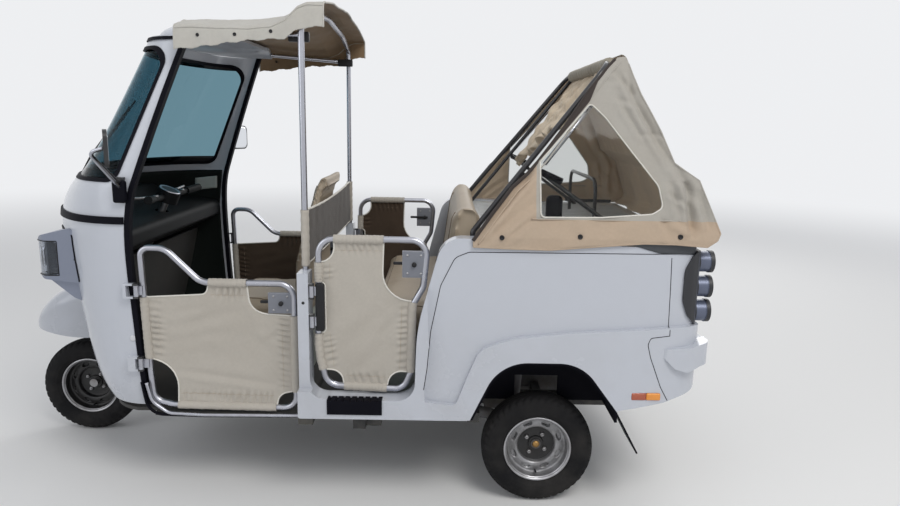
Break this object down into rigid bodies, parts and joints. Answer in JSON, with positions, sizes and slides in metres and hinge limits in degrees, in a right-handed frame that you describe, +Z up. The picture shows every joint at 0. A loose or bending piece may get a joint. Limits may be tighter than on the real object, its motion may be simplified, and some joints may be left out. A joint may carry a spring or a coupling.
{
  "type": "auto rickshaw",
  "caption": "Three-wheeled auto rickshaw, white body, canvas half-doors and roof, half-folded canvas hood over the luggage deck",
  "frame": {"origin": "centre of the footprint on the ground, between the wheels at mid-length", "axes": "+X forward, +Y to the vehicle's left, +Z up"},
  "size_m": [3.013, 1.6914, 2],
  "materials": {
    "body_paint": "gloss",
    "canvas": "matte",
    "clear_window": "clear",
    "screen_glass": "clear",
    "chrome_tube": "polished",
    "black_tube": "satin",
    "rubber_black": "matte",
    "tyre_rubber": "matte",
    "wheel_paint": "satin",
    "bare_steel": "satin",
    "cast_metal": "matte",
    "vinyl": "satin",
    "plastic_grey": "matte",
    "lens": "gloss",
    "lamp_grey": "satin",
    "floor_paint": "matte"
  },
  "bodies": {
    "body": {"bench_backrest": "vinyl", "bench_cushion": "vinyl", "cab_seals": "rubber_black", "chassis": "black_tube", "dashboard": "plastic_grey", "driver_backrest": "vinyl", "driver_cushion": "vinyl", "driver_seat_base": "floor_paint", "engine": "cast_metal", "floor_pan": "floor_paint", "front_shell": "body_paint", "headlamps": "lamp_grey", "hood_canvas": "canvas", "hood_frame": "black_tube", "hood_windows": "clear_window", "lamp_lenses": "lens", "luggage_deck": "body_paint", "mirrors": "chrome_tube", "partition_canvas": "canvas", "rear_panel": "body_paint", "rear_suspension": "cast_metal", "roof_canvas": "canvas", "roof_frame": "bare_steel", "roof_header": "body_paint", "seat_box": "body_paint", "steps": "rubber_black", "tail_lamps": "black_tube", "tub_side_left": "body_paint", "tub_side_right": "body_paint", "wheel_arches": "rubber_black", "windscreen": "screen_glass", "windscreen_frame": "body_paint"},
    "steering": {"front_fork": "bare_steel", "handlebar": "plastic_grey", "front_mudguard": "body_paint"},
    "front_wheel": {"front_tyre": "tyre_rubber", "front_rim": "black_tube"},
    "rear_wheel_left": {"rear_tyre_left": "tyre_rubber", "rear_rim_left": "wheel_paint"},
    "rear_wheel_right": {"rear_tyre_right": "tyre_rubber", "rear_rim_right": "wheel_paint"},
    "front_door_left": {"front_door_frame_left": "chrome_tube", "front_door_canvas_left": "canvas"},
    "front_door_right": {"front_door_frame_right": "chrome_tube", "front_door_canvas_right": "canvas"},
    "rear_door_left": {"rear_door_frame_left": "chrome_tube", "rear_door_canvas_left": "canvas"},
    "rear_door_right": {"rear_door_frame_right": "chrome_tube", "rear_door_canvas_right": "canvas"}
  },
  "joints": [
    {"name": "steer", "type": "hinge", "parent": "body", "child": "steering", "pos_m": [1.2755, 0, 0.228], "axis": [-0.4067, 0, 0.9135], "range_deg": [-36, 36]},
    {"name": "front_wheel_spin", "type": "hinge", "parent": "steering", "child": "front_wheel", "pos_m": [1.2755, 0, 0.228], "axis": [0, 1, 0], "continuous": true},
    {"name": "rear_wheel_left_spin", "type": "hinge", "parent": "body", "child": "rear_wheel_left", "pos_m": [-0.8445, 0.597, 0.228], "axis": [0, 1, 0], "continuous": true},
    {"name": "rear_wheel_right_spin", "type": "hinge", "parent": "body", "child": "rear_wheel_right", "pos_m": [-0.8445, -0.597, 0.228], "axis": [0, 1, 0], "continuous": true},
    {"name": "front_door_left_hinge", "type": "hinge", "parent": "body", "child": "front_door_left", "pos_m": [0.7535, 0.617, 0.6], "axis": [0, 0, -1], "range_deg": [0, 80]},
    {"name": "front_door_right_hinge", "type": "hinge", "parent": "body", "child": "front_door_right", "pos_m": [0.7535, -0.617, 0.6], "axis": [0, 0, 1], "range_deg": [0, 80]},
    {"name": "rear_door_left_hinge", "type": "hinge", "parent": "body", "child": "rear_door_left", "pos_m": [0.0535, 0.684, 0.6], "axis": [0, 0, -1], "range_deg": [0, 80]},
    {"name": "rear_door_right_hinge", "type": "hinge", "parent": "body", "child": "rear_door_right", "pos_m": [0.0535, -0.684, 0.6], "axis": [0, 0, 1], "range_deg": [0, 80]}
  ]
}
